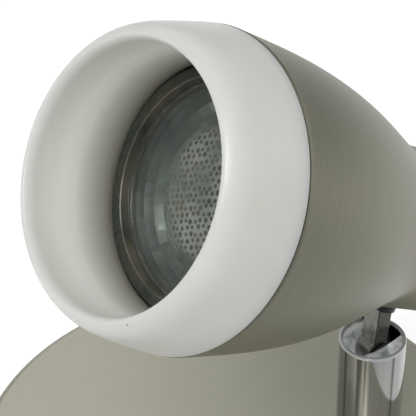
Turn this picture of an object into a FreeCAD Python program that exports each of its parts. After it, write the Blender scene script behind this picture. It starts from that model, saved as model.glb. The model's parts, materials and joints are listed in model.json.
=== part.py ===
import FreeCAD, Part
import math
import os

# Adjustable spot light: a round canopy, an off-centre post that swivels, and a tilting head
# that holds a twist-lock reflector lamp. Millimetres, +Z away from the mounting surface, origin
# at the centre of the canopy's mounting plane. The head lies in a plane parallel to XZ.

# ---- canopy and its fixings ----
CANOPY_RADIUS = 61.5
CANOPY_HEIGHT = 25.0
SHEET = 1.2                    # sheet thickness of the canopy and of the head
CANOPY_EDGE_RADIUS = 2.5
STRAP_WIDTH = 18.0
STRAP_THICKNESS = 1.5
STRAP_HALF_LENGTH = 59.5
TAB_WIDTH = 12.6
TAB_TOP = 13.0
SLOT_SPACING = 60.0
SLOT_LENGTH = 16.0
SLOT_RADIUS = 2.5
CABLE_HOLE_RADIUS = 5.0
SIDE_SCREW_HEIGHT = 8.0
SIDE_SCREW_RADIUS = 2.0
EARTH_Y = -13.0
EARTH_RADIUS = 2.0
BLOCK_Y = 13.5
BLOCK_SIZE = (30.0, 13.0, 11.0)
POLE_SPACING = 9.5
POLES = [-POLE_SPACING, 0, POLE_SPACING]

# ---- post ----
POST_X = 25.4
POST_Y = -19.5
POST_TOP = 59.4
POST_RADIUS = 7.65
POST_BORE = 6.7
NIPPLE_RADIUS = 5.0
NIPPLE_BORE = 3.4
SWIVEL_CLEARANCE = 0.05
STOP_RADIUS = 9.2              # circle that the stop pin stands on
PIVOT_DEPTH = 3.0              # pivot axis below the post's rim
PIN_RADIUS = 1.5
PLUG_END = 36.0
STOP_PIN_RADIUS = 1.2
SPRING_WASHER_RADIUS = 7.4
NUT_ACROSS_FLATS = 13.0
PIN_GRIP = 2.9                 # length of the pin inside each cheek
CHEEK_DISH = 1.4

# ---- head, along its axis from the opening (station 0) to the rear ----
TILT = 31.7                    # beam above the canopy's plane, degrees
PIVOT_STATION = 95.5
PIVOT_DROP = 30.0              # pivot axis below the head's axis
TONGUE_LEAN = 24.3             # the tongue leans forward from square to the head's axis, degrees
TONGUE_STATION = 90.8          # where the tongue meets its washer
SCREW_STATION = 91.6
SEAM_STATION = 16.4
SEAM_RADIUS = 31.66
NECK_START = 77.0
NECK_END = 103.0
NECK_RADIUS = 17.74
RING_BORE = 25.3
LAMP_STATION = 21.5
LAMP_RADIUS = 25.0
CLIP_RADIUS = 29.1
CLIP_STATION = 23.35
TONGUE_WIDTH = 4.6             # across the head
TONGUE_DEPTH = 4.2             # along the head
EYE_RADIUS = 3.4
WASHER_RADIUS = 3.5
WASHER_END = 19.6              # distance of the washer's flat face from the head's axis
LEAD_RADIUS = 1.2
LEAD_STATION = 89.0
LEAD_TURN = 17.0               # the lead leaves the neck beside the tongue, degrees
GROMMET_NECK = 2.3
GROMMET_FLANGE = 3.1
WIRE_RADIUS = 0.8

# ---- twist-lock lamp and its holder ----
LAMP_PIN_OFFSET = 5.0          # each pin's distance from the axis
LAMP_PIN_NECK = 1.6
LAMP_PIN_HEAD = 2.5
LAMP_BASE_END = 68.0
HOLDER_START = 68.3
HOLDER_END = 84.2
HOLDER_RADIUS = 13.6
LOCK_ANGLE = 26.0
GLASS_START = 23.4
GLASS_END = 24.8
GLASS_RADIUS = 22.2
LENS_RADIUS = 12.3
BOWL_END = 53.5
FRONT_PLATE_END = 72.2
PIN_END = 75.2
CAVITY_END = 78.6
HOLDER_SCREW_OFFSET = 10.6
LEG_THICKNESS = 1.2

CANOPY_TOP = CANOPY_HEIGHT - SHEET
PIVOT_HEIGHT = POST_TOP - PIVOT_DEPTH
NECK_BORE = NECK_RADIUS - SHEET
TUBE_START = CANOPY_HEIGHT + 0.55
FORK_BASE = PIVOT_HEIGHT - 9.0
FORK_FLOOR = PIVOT_HEIGHT - 4.8
CHEEK_TOP = POST_TOP - 0.7
EAR_GAP = TONGUE_WIDTH / 2 + 0.5      # the friction washers fill the gap beside the tongue
LEG_BORE = NECK_BORE - LEG_THICKNESS - 0.05
PLATE_START = HOLDER_END
PLATE_END = HOLDER_END + 1.2

X_AXIS = FreeCAD.Vector(1, 0, 0)
Y_AXIS = FreeCAD.Vector(0, 1, 0)
Z_AXIS = FreeCAD.Vector(0, 0, 1)
ORIGIN = FreeCAD.Vector(0, 0, 0)

# Local frame of the post: Z up, origin on the post's axis in the mounting plane.
POST_PLACE = FreeCAD.Placement(FreeCAD.Vector(POST_X, POST_Y, 0), FreeCAD.Rotation())

# Local frame of the head: Z along the head's axis to the rear, X from the axis to the pivot.
HEAD_TURN = FreeCAD.Rotation(Y_AXIS, 90 + TILT)
PIVOT_IN_HEAD = FreeCAD.Vector(PIVOT_DROP, 0, PIVOT_STATION)
PIVOT = FreeCAD.Vector(POST_X, POST_Y, PIVOT_HEIGHT)
HEAD_PLACE = FreeCAD.Placement(PIVOT - HEAD_TURN.multVec(PIVOT_IN_HEAD), HEAD_TURN)


# ---------------------------------------------------------------- helpers

def point(radius, height):
    return FreeCAD.Vector(radius, 0, height)


def turned(edges):
    """Solid of revolution about Z from a closed chain of edges in the XZ plane."""
    face = Part.Face(Part.Wire(Part.__sortEdges__(edges)))
    return face.revolve(ORIGIN, Z_AXIS, 360)


def turned_polygon(corners):
    points = [point(radius, height) for radius, height in corners]
    return turned(Part.makePolygon(points + points[:1]).Edges)


def line(start, end):
    return Part.LineSegment(start, end).toShape()


def arc(start, middle, end):
    return Part.Arc(start, middle, end).toShape()


def curve(points):
    spline = Part.BSplineCurve()
    spline.interpolate(points)
    return spline.toShape()


def rod(radius, start, end, axis=Z_AXIS, at=ORIGIN):
    """Cylinder along an axis between two distances from a point."""
    base = at + axis * start
    return Part.makeCylinder(radius, end - start, base, axis)


def tube(outer, inner, start, end, axis=Z_AXIS, at=ORIGIN):
    return rod(outer, start, end, axis, at).cut(rod(inner, start - 1, end + 1, axis, at))


def block(size, centre):
    corner = centre - FreeCAD.Vector(*size) * 0.5
    return Part.makeBox(size[0], size[1], size[2], corner)


def turned_about(shape, angle, axis=Z_AXIS, at=ORIGIN):
    copy = shape.copy()
    copy.rotate(at, axis, angle)
    return copy


def moved(shape, offset):
    copy = shape.copy()
    copy.translate(offset)
    return copy


def bent_wire(points, radius):
    """Round wire along straight runs that are joined by the largest tangent arcs."""
    edges = []
    start = points[0]
    for before, corner, after in zip(points, points[1:], points[2:]):
        inward = (before - corner).normalize()
        outward = (after - corner).normalize()
        half_turn = (math.pi - inward.getAngle(outward)) / 2
        reach = 0.45 * min((before - corner).Length, (after - corner).Length)
        bend = reach / math.tan(half_turn)
        middle_way = (inward + outward).normalize()
        middle = corner + middle_way * (bend / math.cos(half_turn) - bend)
        enter = corner + inward * reach
        leave = corner + outward * reach
        edges.append(line(start, enter))
        edges.append(arc(enter, middle, leave))
        start = leave
    edges.append(line(start, points[-1]))
    path = Part.Wire(edges)
    first_run = points[1] - points[0]
    section = Part.Wire(Part.makeCircle(radius, points[0], first_run))
    return path.makePipeShell([section], True, False)


def slotted_screw(head_radius, head_height, shank_radius, shank_length):
    """Screw along Z: the head's underside at 0, the head above it, the shank below it."""
    head = rod(head_radius, 0, head_height)
    crown = head_height * 0.35
    head = head.makeFillet(crown, [head.Edges[0]])
    slot = block((head_radius * 3, head_radius * 0.3, head_height),
                 point(0, head_height * 1.1))
    return head.cut(slot).fuse(rod(shank_radius, -shank_length, 0)).removeSplitter()


def placed(shape, place):
    copy = shape.copy()
    copy.Placement = place.multiply(copy.Placement)
    return copy


def group(solids):
    return Part.makeCompound(solids)


# ---------------------------------------------------------------- canopy body

def canopy():
    """Shallow spun cup with a small rounded edge, open towards the mounting surface."""
    edge = CANOPY_EDGE_RADIUS
    diagonal = edge * (1 - math.sqrt(0.5))
    outer_corner = point(CANOPY_RADIUS - diagonal, CANOPY_HEIGHT - diagonal)
    inner_edge = edge - SHEET
    inner_diagonal = SHEET + inner_edge * (1 - math.sqrt(0.5))
    inner_corner = point(CANOPY_RADIUS - inner_diagonal, CANOPY_HEIGHT - inner_diagonal)
    inner_radius = CANOPY_RADIUS - SHEET
    flat_radius = CANOPY_RADIUS - edge
    bend_height = CANOPY_HEIGHT - edge
    shell = turned([
        line(point(0, CANOPY_HEIGHT), point(flat_radius, CANOPY_HEIGHT)),
        arc(point(flat_radius, CANOPY_HEIGHT), outer_corner, point(CANOPY_RADIUS, bend_height)),
        line(point(CANOPY_RADIUS, bend_height), point(CANOPY_RADIUS, 0)),
        line(point(CANOPY_RADIUS, 0), point(inner_radius, 0)),
        line(point(inner_radius, 0), point(inner_radius, bend_height)),
        arc(point(inner_radius, bend_height), inner_corner, point(flat_radius, CANOPY_TOP)),
        line(point(flat_radius, CANOPY_TOP), point(0, CANOPY_TOP)),
        line(point(0, CANOPY_TOP), point(0, CANOPY_HEIGHT)),
    ])
    hole_radius = NIPPLE_RADIUS + SWIVEL_CLEARANCE
    post_hole = rod(hole_radius, CANOPY_TOP - 1, CANOPY_HEIGHT + 1, at=POST_PLACE.Base)
    side_holes = rod(SIDE_SCREW_RADIUS + 0.2, -CANOPY_RADIUS - 1, CANOPY_RADIUS + 1,
                     Y_AXIS, point(0, SIDE_SCREW_HEIGHT))
    return shell.cut(post_hole).cut(side_holes)


def mounting_bracket():
    """Steel strap across the canopy with two slots, a cable hole and an earth hole."""
    length = 2 * STRAP_HALF_LENGTH
    strap = block((STRAP_WIDTH, length, STRAP_THICKNESS), point(0, STRAP_THICKNESS / 2))
    strap = strap.cut(rod(CABLE_HOLE_RADIUS, -1, STRAP_THICKNESS + 1))
    earth_hole = FreeCAD.Vector(0, EARTH_Y, 0)
    strap = strap.cut(rod(EARTH_RADIUS, -1, STRAP_THICKNESS + 1, at=earth_hole))
    for side in (-1, 1):
        slot_y = side * SLOT_SPACING / 2
        reach = SLOT_LENGTH / 2 - SLOT_RADIUS
        slot = block((2 * SLOT_RADIUS, 2 * reach, 4), FreeCAD.Vector(0, slot_y, 0))
        for end in (-1, 1):
            end_point = FreeCAD.Vector(0, slot_y + end * reach, 0)
            slot = slot.fuse(rod(SLOT_RADIUS, -2, 2, at=end_point))
        strap = strap.cut(slot)
    return strap


def bracket_tabs():
    """Threaded tab welded onto each end of the strap, for the canopy's side screws."""
    tabs = []
    for side in (-1, 1):
        tab_y = side * (STRAP_HALF_LENGTH - STRAP_THICKNESS / 2)
        tab = block((TAB_WIDTH, STRAP_THICKNESS, TAB_TOP - STRAP_THICKNESS),
                    FreeCAD.Vector(0, tab_y, (TAB_TOP + STRAP_THICKNESS) / 2))
        thread = rod(SIDE_SCREW_RADIUS, tab_y - 2, tab_y + 2, Y_AXIS, point(0, SIDE_SCREW_HEIGHT))
        tabs.append(tab.cut(thread))
    return group(tabs)


def canopy_screws():
    """One screw at each end of the strap, through the canopy's side into the tab."""
    screw = slotted_screw(3.6, 2.2, SIDE_SCREW_RADIUS, 5.0)
    solids = []
    for angle in (-90, 90):
        turned_screw = turned_about(screw, -angle, X_AXIS)
        outward = 1 if angle > 0 else -1
        seat = FreeCAD.Vector(0, outward * (CANOPY_RADIUS + 0.1), SIDE_SCREW_HEIGHT)
        solids.append(moved(turned_screw, seat))
    return group(solids)


def terminal_block():
    """Three-pole screw terminal that stands on the strap."""
    centre = FreeCAD.Vector(0, BLOCK_Y, STRAP_THICKNESS + BLOCK_SIZE[2] / 2)
    body = block(BLOCK_SIZE, centre)
    for x in POLES:
        wire_way = FreeCAD.Vector(x, BLOCK_Y, STRAP_THICKNESS + 4.5)
        body = body.cut(rod(1.7, -BLOCK_SIZE[1], BLOCK_SIZE[1], Y_AXIS, wire_way))
        for side in (-1, 1):
            well = FreeCAD.Vector(x, BLOCK_Y + side * 3.2, STRAP_THICKNESS)
            body = body.cut(rod(1.9, 4.5, BLOCK_SIZE[2] + 1, at=well))
    for x in (-POLE_SPACING / 2, POLE_SPACING / 2):
        notch = FreeCAD.Vector(x, BLOCK_Y, STRAP_THICKNESS + BLOCK_SIZE[2])
        body = body.cut(block((1.6, BLOCK_SIZE[1] + 2, 7.0), notch))
    return body


def terminal_screws():
    screw = slotted_screw(1.8, 3.0, 1.2, 1.8)
    seat_height = STRAP_THICKNESS + 6.6
    solids = []
    for x in POLES:
        for side in (-1, 1):
            solids.append(moved(screw, FreeCAD.Vector(x, BLOCK_Y + side * 3.2, seat_height)))
    return group(solids)


def earth_screw():
    screw = slotted_screw(3.6, 2.4, EARTH_RADIUS, STRAP_THICKNESS + 1.0)
    return moved(screw, FreeCAD.Vector(0, EARTH_Y, STRAP_THICKNESS + 1.0))


def earth_washer():
    seat = FreeCAD.Vector(0, EARTH_Y, 0)
    return tube(4.4, EARTH_RADIUS, STRAP_THICKNESS, STRAP_THICKNESS + 1.0, at=seat)


def stop_pin():
    """Pin under the canopy that the swivel's stop tab meets."""
    foot = FreeCAD.Vector(POST_X + STOP_RADIUS, POST_Y, 0)
    return rod(STOP_PIN_RADIUS, CANOPY_TOP - 4.0, CANOPY_TOP, at=foot)


def swivel_washer():
    """Thin slip washer between the canopy and the post."""
    return tube(7.3, NIPPLE_RADIUS + 0.1, CANOPY_HEIGHT, CANOPY_HEIGHT + 0.5)


def canopy_leads():
    """Two wires from below the post's nipple to the terminal block."""
    wires = []
    for x, spread in ((POLES[0], -1.1), (POLES[2], 1.1)):
        wires.append(bent_wire([
            FreeCAD.Vector(POST_X + spread, POST_Y, 12.6),
            FreeCAD.Vector(POST_X + spread * 2, POST_Y - 0.5, 8.0),
            FreeCAD.Vector(x + 8.0, -12.0, 6.3),
            FreeCAD.Vector(x, -4.0, 6.2),
            FreeCAD.Vector(x, 7.2, STRAP_THICKNESS + 4.5),
        ], WIRE_RADIUS))
    return group(wires)


# ---------------------------------------------------------------- post body

def post_tube():
    """Chrome tube with a softly rounded rim."""
    wall = POST_RADIUS - POST_BORE
    rim = wall * 0.45
    blank = turned_polygon([
        (POST_BORE, TUBE_START), (POST_RADIUS, TUBE_START),
        (POST_RADIUS, POST_TOP), (POST_BORE, POST_TOP),
    ])
    rim_edges = [edge for edge in blank.Edges
                 if abs(edge.BoundBox.ZMin - POST_TOP) < 0.01
                 and abs(edge.BoundBox.ZMax - POST_TOP) < 0.01
                 and edge.BoundBox.XLength > POST_RADIUS]
    return blank.makeFillet(rim, rim_edges)


def post_plug():
    """Plug in the tube's foot that is threaded onto the nipple."""
    return tube(POST_BORE, NIPPLE_RADIUS, TUBE_START, PLUG_END - 3.0)


def post_nipple():
    return tube(NIPPLE_RADIUS, NIPPLE_BORE, 13.6, PLUG_END)


def spring_washer():
    return tube(SPRING_WASHER_RADIUS, NIPPLE_RADIUS, CANOPY_TOP - 1.1, CANOPY_TOP - 0.05)


def stop_washer():
    """Washer keyed to the nipple; its tab meets the stop pin at each end of the swivel."""
    low = CANOPY_TOP - 2.3
    high = CANOPY_TOP - 1.15
    disc = rod(SPRING_WASHER_RADIUS, low, high)
    tab = block((6.0, 3.0, high - low), FreeCAD.Vector(-STOP_RADIUS + 1.6, 0, (low + high) / 2))
    return disc.fuse(tab).cut(rod(NIPPLE_RADIUS, low - 1, high + 1)).removeSplitter()


def swivel_nut():
    high = CANOPY_TOP - 2.35
    low = high - 5.0
    across_corners = NUT_ACROSS_FLATS / math.cos(math.radians(30))
    corners = []
    for step in range(7):
        angle = math.radians(60 * step)
        corners.append(FreeCAD.Vector(math.cos(angle), math.sin(angle), 0) * (across_corners / 2))
    hexagon = Part.Face(Part.makePolygon(corners)).extrude(Z_AXIS * (high - low))
    return moved(hexagon, Z_AXIS * low).cut(rod(NIPPLE_RADIUS, low - 1, high + 1))


def pivot_fork():
    """Insert in the post's mouth: a slot for the tongue between two cheeks with a dished top."""
    body = rod(POST_BORE, FORK_BASE, CHEEK_TOP)
    slot_height = POST_TOP - FORK_FLOOR
    slot = block((3 * POST_BORE, 2 * EAR_GAP, slot_height),
                 FreeCAD.Vector(0, 0, FORK_FLOOR + slot_height / 2))
    channel = block((5.0, 4.4, 8.0), FreeCAD.Vector(-POST_BORE + 1.5, 0, FORK_BASE + 2.0))
    dish = Part.makeCone(0, POST_BORE, CHEEK_DISH, FreeCAD.Vector(0, 0, CHEEK_TOP - CHEEK_DISH))
    pin_hole = rod(PIN_RADIUS, -POST_BORE, POST_BORE, Y_AXIS, point(0, PIVOT_HEIGHT))
    return body.cut(slot).cut(channel).cut(dish).cut(pin_hole).removeSplitter()


def pivot_pin():
    reach = EAR_GAP + PIN_GRIP
    return rod(PIN_RADIUS, -reach, reach, Y_AXIS, point(0, PIVOT_HEIGHT))


def friction_washers():
    solids = []
    for side in (-1, 1):
        near = TONGUE_WIDTH / 2 + 0.05
        if side < 0:
            near = -EAR_GAP
        thickness = EAR_GAP - TONGUE_WIDTH / 2 - 0.05
        solids.append(tube(2.5, PIN_RADIUS, near, near + thickness, Y_AXIS,
                           point(0, PIVOT_HEIGHT)))
    return group(solids)


def post_leads():
    """Two wires down the post, through its fork's channel and the nipple."""
    wires = []
    for side in (-1, 1):
        wires.append(bent_wire([
            FreeCAD.Vector(-POST_BORE + 1.6, side * 1.1, PIVOT_HEIGHT - 5.2),
            FreeCAD.Vector(-POST_BORE + 1.6, side * 1.1, FORK_BASE - 0.6),
            FreeCAD.Vector(0, side * 1.2, PLUG_END + 3.0),
            FreeCAD.Vector(0, side * 1.2, 26.0),
            FreeCAD.Vector(side * 0.4, side * 1.1, 13.8),
        ], WIRE_RADIUS))
    return group(wires)


# ---------------------------------------------------------------- head body

def bell_points(inset):
    """Outline of the bell from the seam to where it blends into the neck."""
    outline = [(SEAM_RADIUS, SEAM_STATION), (30.9, 25.0), (29.7, 35.0), (27.8, 45.0),
               (25.0, 55.0), (21.35, 65.0), (18.75, 72.0)]
    return [point(radius - inset, station) for radius, station in outline]


def shell_side(inset):
    """One side of the shell: the bell, a short blend and the neck."""
    bell = bell_points(inset)
    neck_radius = NECK_RADIUS - inset
    blend = Part.BezierCurve()
    blend.setPoles([bell[-1], point(neck_radius, 74.6), point(neck_radius, NECK_START)])
    neck = line(point(neck_radius, NECK_START), point(neck_radius, NECK_END))
    return [curve(bell), blend.toShape(), neck]


def head_shell():
    """Spun bell and neck with holes for the tongue's screw and the lead."""
    front = line(point(SEAM_RADIUS, SEAM_STATION), point(SEAM_RADIUS - SHEET, SEAM_STATION))
    rear = line(point(NECK_RADIUS, NECK_END), point(NECK_BORE, NECK_END))
    shell = turned(shell_side(0) + shell_side(SHEET) + [front, rear])
    screw_hole = rod(1.4, 10, 25, X_AXIS, point(0, SCREW_STATION))
    lead_hole = rod(GROMMET_NECK, 10, 25, X_AXIS, point(0, LEAD_STATION))
    return shell.cut(screw_hole).cut(turned_about(lead_hole, LEAD_TURN))


def rear_cap():
    """Pressed cap that closes the neck, with a shallow dome and a rounded edge."""
    dome_edge = point(NECK_RADIUS - 1.8, NECK_END + 1.7)
    return turned([
        arc(point(0, NECK_END + 2.8), point(8.0, NECK_END + 2.52), dome_edge),
        arc(dome_edge, point(NECK_RADIUS - 0.45, NECK_END + 1.15), point(NECK_RADIUS, NECK_END)),
        line(point(NECK_RADIUS, NECK_END), point(NECK_BORE, NECK_END)),
        line(point(NECK_BORE, NECK_END), point(NECK_BORE, NECK_END - 2.4)),
        line(point(NECK_BORE, NECK_END - 2.4), point(NECK_BORE - 1.2, NECK_END - 2.4)),
        line(point(NECK_BORE - 1.2, NECK_END - 2.4), point(NECK_BORE - 1.2, NECK_END)),
        line(point(NECK_BORE - 1.2, NECK_END), point(0, NECK_END + 1.4)),
        line(point(0, NECK_END + 1.4), point(0, NECK_END + 2.8)),
    ])


def opal_ring():
    """Thick front ring: rounded lip, swelling outside, straight bore and a rear spigot."""
    lip = [point(RING_BORE, 1.0), point(25.55, -0.3), point(26.3, -0.9), point(27.4, -0.1)]
    swell = [point(27.4, -0.1), point(28.8, 2.0), point(29.75, 5.5), point(30.85, 11.5),
             point(31.55, SEAM_STATION - 0.25)]
    spigot_radius = SEAM_RADIUS - SHEET - 0.25
    spigot_end = 22.6
    back_bore = RING_BORE + 0.6
    return turned([
        curve(lip),
        curve(swell),
        line(swell[-1], point(spigot_radius, SEAM_STATION - 0.25)),
        line(point(spigot_radius, SEAM_STATION - 0.25), point(spigot_radius - 0.3, spigot_end)),
        line(point(spigot_radius - 0.3, spigot_end), point(back_bore, spigot_end)),
        line(point(back_bore, spigot_end), point(RING_BORE, 1.0)),
    ])


def ring_clip():
    """Open spring-wire ring behind the opal ring's spigot."""
    clip = Part.makeTorus(CLIP_RADIUS, 0.6, point(0, CLIP_STATION), Z_AXIS)
    gap = block((8.0, 6.0, 4.0), point(CLIP_RADIUS - 0.1, CLIP_STATION))
    return clip.cut(gap)


def lead_grommet():
    """Rubber grommet in the neck's underside, around the lead."""
    flange = rod(GROMMET_FLANGE, NECK_RADIUS - 1.9, NECK_RADIUS + 0.9, X_AXIS, point(0, LEAD_STATION))
    outside = tube(NECK_RADIUS + 4, NECK_RADIUS, LEAD_STATION - 5, LEAD_STATION + 5)
    inside = rod(NECK_BORE - 0.6, LEAD_STATION - 5, LEAD_STATION + 5)
    flange = flange.common(outside)
    sleeve = rod(GROMMET_NECK, NECK_BORE - 1.0, NECK_RADIUS + 0.3, X_AXIS, point(0, LEAD_STATION))
    sleeve = sleeve.cut(inside)
    whole = flange.fuse(sleeve).removeSplitter()
    whole = whole.cut(rod(LEAD_RADIUS, 10, 25, X_AXIS, point(0, LEAD_STATION)))
    return turned_about(whole, LEAD_TURN)


def head_lead():
    """Sleeved lead from inside the neck, out beside the tongue."""
    lead = bent_wire([
        point(7.0, LEAD_STATION),
        point(20.8, LEAD_STATION),
        FreeCAD.Vector(23.2, -0.5, LEAD_STATION + 0.3),
    ], LEAD_RADIUS)
    return turned_about(lead, LEAD_TURN)


def neck_washer():
    """Black washer that fits the neck's curve on one side and the tongue on the other."""
    disc = rod(WASHER_RADIUS, NECK_BORE - 2, WASHER_END, X_AXIS, point(0, TONGUE_STATION))
    neck = rod(NECK_RADIUS, TONGUE_STATION - 10, TONGUE_STATION + 10)
    grommet_way = rod(GROMMET_FLANGE, 10, 25, X_AXIS, point(0, LEAD_STATION))
    screw_way = rod(1.25, 10, 25, X_AXIS, point(0, SCREW_STATION))
    return disc.cut(neck).cut(turned_about(grommet_way, LEAD_TURN)).cut(screw_way)


def tilt_tongue():
    """Square bar, flat where it meets the washer, with a round eye for the pivot pin."""
    length = 16.0
    corner = FreeCAD.Vector(PIVOT_DROP - length, -TONGUE_WIDTH / 2, PIVOT_STATION - TONGUE_DEPTH / 2)
    bar = Part.makeBox(length, TONGUE_WIDTH, TONGUE_DEPTH, corner)
    long_edges = [edge for edge in bar.Edges if edge.BoundBox.XLength > length / 2]
    bar = bar.makeFillet(0.35, long_edges)
    bar = turned_about(bar, -TONGUE_LEAN, Y_AXIS, PIVOT_IN_HEAD)
    above = Part.makeBox(WASHER_END, 40, 60, FreeCAD.Vector(0, -20, PIVOT_STATION - 40))
    eye = rod(EYE_RADIUS, -TONGUE_WIDTH / 2, TONGUE_WIDTH / 2, Y_AXIS, PIVOT_IN_HEAD)
    hole = rod(PIN_RADIUS + 0.05, -TONGUE_WIDTH, TONGUE_WIDTH, Y_AXIS, PIVOT_IN_HEAD)
    thread = rod(1.25, WASHER_END - 1, WASHER_END + 3.6, X_AXIS, point(0, SCREW_STATION))
    return bar.cut(above).fuse(eye).removeSplitter().cut(hole).cut(thread)


def tongue_screw():
    screw = slotted_screw(2.2, 1.8, 1.25, 7.8)
    seat = LEG_BORE - 0.25
    return moved(turned_about(screw, -90, Y_AXIS), FreeCAD.Vector(seat, 0, SCREW_STATION))


def holder_bracket():
    """Plate behind the lampholder, with a leg along the neck for the tongue's screw."""
    plate = rod(NECK_BORE - 0.2, PLATE_START, PLATE_END)
    leg_sleeve = tube(NECK_BORE - 0.05, LEG_BORE, PLATE_START, 100.0)
    leg_wedge = block((12.0, 11.0, 30.0), point(LEG_BORE + 1.0, PLATE_START + 10))
    bracket = plate.fuse(leg_sleeve.common(leg_wedge)).removeSplitter()
    bracket = bracket.cut(rod(1.25, 5, 20, X_AXIS, point(0, SCREW_STATION)))
    lead_way = rod(3.2, 10, 20, X_AXIS, point(0, LEAD_STATION))
    bracket = bracket.cut(turned_about(lead_way, LEAD_TURN))
    bracket = bracket.cut(rod(6.2, PLATE_START - 1, PLATE_END + 1))
    for side in (-1, 1):
        screw_point = FreeCAD.Vector(0, side * HOLDER_SCREW_OFFSET, 0)
        bracket = bracket.cut(rod(1.5, PLATE_START - 1, PLATE_END + 1, at=screw_point))
    return bracket


def holder_screws():
    screw = slotted_screw(2.6, 1.8, 1.5, 6.4)
    solids = []
    for side in (-1, 1):
        solids.append(moved(screw, FreeCAD.Vector(0, side * HOLDER_SCREW_OFFSET, PLATE_END)))
    return group(solids)


def lock_slot(radius, start, end):
    """Space that a pin sweeps from its locked place to its way in, both pins."""
    inner = LAMP_PIN_OFFSET - radius
    outer = LAMP_PIN_OFFSET + radius
    ring = tube(outer, inner, start, end)
    sector_edges = [
        line(ORIGIN, FreeCAD.Vector(0, 2 * outer, 0)),
        arc(FreeCAD.Vector(0, 2 * outer, 0),
            turned_point(2 * outer, LOCK_ANGLE / 2), turned_point(2 * outer, LOCK_ANGLE)),
        line(turned_point(2 * outer, LOCK_ANGLE), ORIGIN),
    ]
    sector = Part.Face(Part.Wire(sector_edges)).extrude(Z_AXIS * (end - start))
    slot = ring.common(moved(sector, Z_AXIS * start))
    for angle in (0, LOCK_ANGLE):
        slot = slot.fuse(rod(radius, start, end, at=turned_point(LAMP_PIN_OFFSET, angle)))
    return slot.fuse(turned_about(slot, 180))


def turned_point(radius, angle):
    """Point at an angle from +Y, in the direction that unlocks the lamp."""
    turn = math.radians(angle)
    return FreeCAD.Vector(radius * math.sin(turn), radius * math.cos(turn), 0)


def lampholder():
    """Ceramic holder with a pair of curved keyhole slots and a space behind for the contacts."""
    body = rod(HOLDER_RADIUS, HOLDER_START, HOLDER_END)
    rims = [edge for edge in body.Edges if edge.BoundBox.ZLength < 0.01]
    body = body.makeChamfer(0.8, rims)
    body = body.cut(lock_slot(LAMP_PIN_NECK + 0.3, HOLDER_START - 1, FRONT_PLATE_END + 0.5))
    for angle in (LOCK_ANGLE, LOCK_ANGLE + 180):
        entry = turned_point(LAMP_PIN_OFFSET, angle)
        body = body.cut(rod(LAMP_PIN_HEAD + 0.35, HOLDER_START - 1, FRONT_PLATE_END + 0.5, at=entry))
    cavity = tube(LAMP_PIN_OFFSET + 3.2, LAMP_PIN_OFFSET - 3.2, FRONT_PLATE_END, CAVITY_END)
    body = body.cut(cavity)
    for side in (-1, 1):
        screw_point = FreeCAD.Vector(0, side * HOLDER_SCREW_OFFSET, 0)
        body = body.cut(rod(1.5, HOLDER_END - 5.2, HOLDER_END + 1, at=screw_point))
        wire_point = FreeCAD.Vector(0, side * LAMP_PIN_OFFSET, 0)
        body = body.cut(rod(WIRE_RADIUS + 0.3, CAVITY_END - 1, HOLDER_END + 1, at=wire_point))
    return body


def holder_contacts():
    """Sprung contact leaf behind each pin."""
    leaf = block((3.6, 3.6, 0.4), FreeCAD.Vector(0, LAMP_PIN_OFFSET, 75.9))
    stem = block((1.6, 0.4, 2.5), FreeCAD.Vector(0, LAMP_PIN_OFFSET + 1.6, 77.35))
    contact = leaf.fuse(stem).removeSplitter()
    return group([contact, turned_about(contact, 180)])


def head_wires():
    """One wire from each contact back to the sleeved lead."""
    turn = math.radians(LEAD_TURN)
    lead_end = FreeCAD.Vector(6.3 * math.cos(turn), 6.3 * math.sin(turn), LEAD_STATION)
    wires = []
    for side in (-1, 1):
        wires.append(bent_wire([
            FreeCAD.Vector(0, side * LAMP_PIN_OFFSET, CAVITY_END + 0.2),
            FreeCAD.Vector(0, side * LAMP_PIN_OFFSET, 86.0),
            FreeCAD.Vector(2.4, side * 2.6, LEAD_STATION),
            lead_end + FreeCAD.Vector(0, side * 0.85, 0),
        ], WIRE_RADIUS * 0.9))
    return group(wires)


# ---------------------------------------------------------------- lamp body

def lamp_bowl():
    """Glass body: a flat rim, a recess for the front glass and a bowl that narrows to the base."""
    outer = [point(LAMP_RADIUS - 0.5, 25.6), point(23.0, 32.0), point(19.6, 40.0),
             point(15.6, 48.0), point(13.6, BOWL_END)]
    inner = [point(GLASS_RADIUS - 0.8, 26.4), point(20.6, 32.0), point(17.4, 40.0),
             point(13.8, 48.0), point(12.2, BOWL_END)]
    return turned([
        line(point(GLASS_RADIUS, LAMP_STATION), point(LAMP_RADIUS - 0.4, LAMP_STATION)),
        line(point(LAMP_RADIUS - 0.4, LAMP_STATION), point(LAMP_RADIUS, LAMP_STATION + 0.4)),
        line(point(LAMP_RADIUS, LAMP_STATION + 0.4), point(LAMP_RADIUS, 24.6)),
        line(point(LAMP_RADIUS, 24.6), outer[0]),
        curve(outer),
        line(outer[-1], inner[-1]),
        curve(inner),
        line(inner[0], point(GLASS_RADIUS - 0.8, GLASS_END)),
        line(point(GLASS_RADIUS - 0.8, GLASS_END), point(GLASS_RADIUS, GLASS_END)),
        line(point(GLASS_RADIUS, GLASS_END), point(GLASS_RADIUS, LAMP_STATION)),
    ])


def lamp_front_glass():
    return rod(GLASS_RADIUS - 0.05, GLASS_START, GLASS_END)


def lamp_lens():
    """Round lens in the middle of the lamp: a shallow dome in front, a cone behind."""
    return turned([
        arc(point(0, 24.95), point(7.0, 25.2), point(LENS_RADIUS, 26.2)),
        line(point(LENS_RADIUS, 26.2), point(LENS_RADIUS, 27.4)),
        line(point(LENS_RADIUS, 27.4), point(6.5, 37.2)),
        line(point(6.5, 37.2), point(0, 37.2)),
        line(point(0, 37.2), point(0, 24.95)),
    ])


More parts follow.
